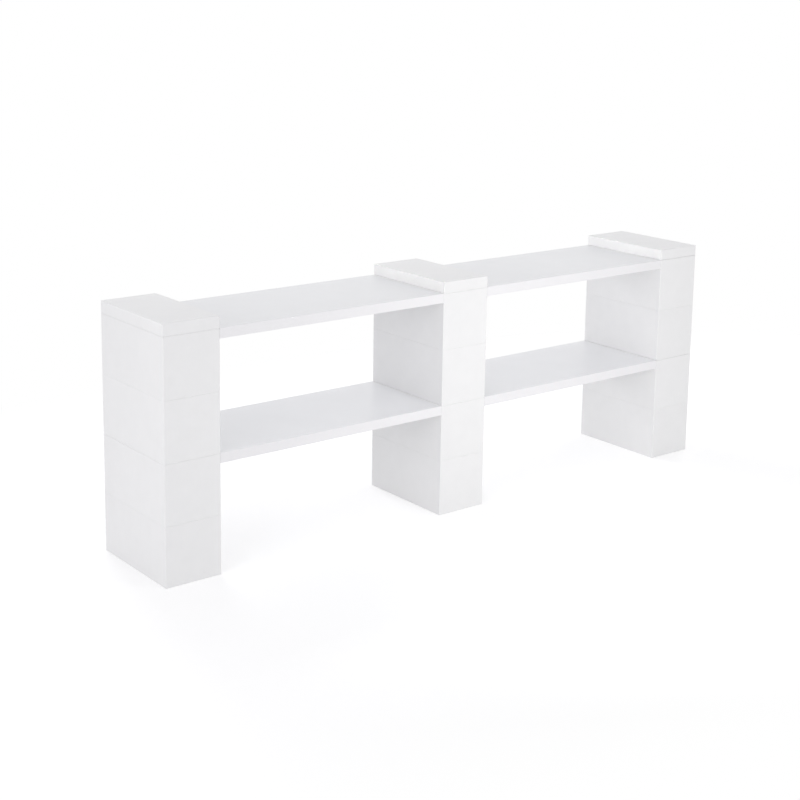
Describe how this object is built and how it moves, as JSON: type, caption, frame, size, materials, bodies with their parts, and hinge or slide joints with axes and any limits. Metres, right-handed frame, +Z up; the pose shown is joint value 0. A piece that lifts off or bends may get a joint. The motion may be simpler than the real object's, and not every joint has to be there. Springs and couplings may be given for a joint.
{
  "type": "shelving unit",
  "caption": "Low, wide, open shelving unit: columns of stacked hollow plastic blocks, each with a plain cap, carry flat shelves at mid-height and near the top for storage and display.",
  "frame": {"origin": "centre of the unit's footprint, on the floor", "axes": "+X along the unit, to the right seen from the front; +Y to the back; +Z up"},
  "size_m": [1.8288, 0.3048, 0.6432],
  "materials": {
    "block_plastic": "satin",
    "cap_plastic": "satin",
    "board_laminate": "satin",
    "edge_band": "satin",
    "saddle_steel": "satin",
    "screw_zinc": "satin"
  },
  "bodies": {
    "root": {"left_block_1": "block_plastic", "left_block_2": "block_plastic", "left_block_3": "block_plastic", "left_block_4": "block_plastic", "left_cap": "cap_plastic", "left_lower_saddle": "saddle_steel", "left_upper_saddle": "saddle_steel", "middle_block_1": "block_plastic", "middle_block_2": "block_plastic", "middle_block_3": "block_plastic", "middle_block_4": "block_plastic", "middle_cap": "cap_plastic", "middle_lower_saddle": "saddle_steel", "middle_upper_saddle": "saddle_steel", "right_block_1": "block_plastic", "right_block_2": "block_plastic", "right_block_3": "block_plastic", "right_block_4": "block_plastic", "right_cap": "cap_plastic", "right_lower_saddle": "saddle_steel", "right_upper_saddle": "saddle_steel", "left_lower_shelf_board": "board_laminate", "left_lower_shelf_front_band": "edge_band", "left_lower_shelf_back_band": "edge_band", "left_upper_shelf_board": "board_laminate", "left_upper_shelf_front_band": "edge_band", "left_upper_shelf_back_band": "edge_band", "right_lower_shelf_board": "board_laminate", "right_lower_shelf_front_band": "edge_band", "right_lower_shelf_back_band": "edge_band", "right_upper_shelf_board": "board_laminate", "right_upper_shelf_front_band": "edge_band", "right_upper_shelf_back_band": "edge_band", "left_lower_shelf_screw_1": "screw_zinc", "left_lower_shelf_screw_2": "screw_zinc", "left_lower_shelf_screw_3": "screw_zinc", "left_lower_shelf_screw_4": "screw_zinc", "left_upper_shelf_screw_1": "screw_zinc", "left_upper_shelf_screw_2": "screw_zinc", "left_upper_shelf_screw_3": "screw_zinc", "left_upper_shelf_screw_4": "screw_zinc", "right_lower_shelf_screw_1": "screw_zinc", "right_lower_shelf_screw_2": "screw_zinc", "right_lower_shelf_screw_3": "screw_zinc", "right_lower_shelf_screw_4": "screw_zinc", "right_upper_shelf_screw_1": "screw_zinc", "right_upper_shelf_screw_2": "screw_zinc", "right_upper_shelf_screw_3": "screw_zinc", "right_upper_shelf_screw_4": "screw_zinc"}
  },
  "joints": []
}
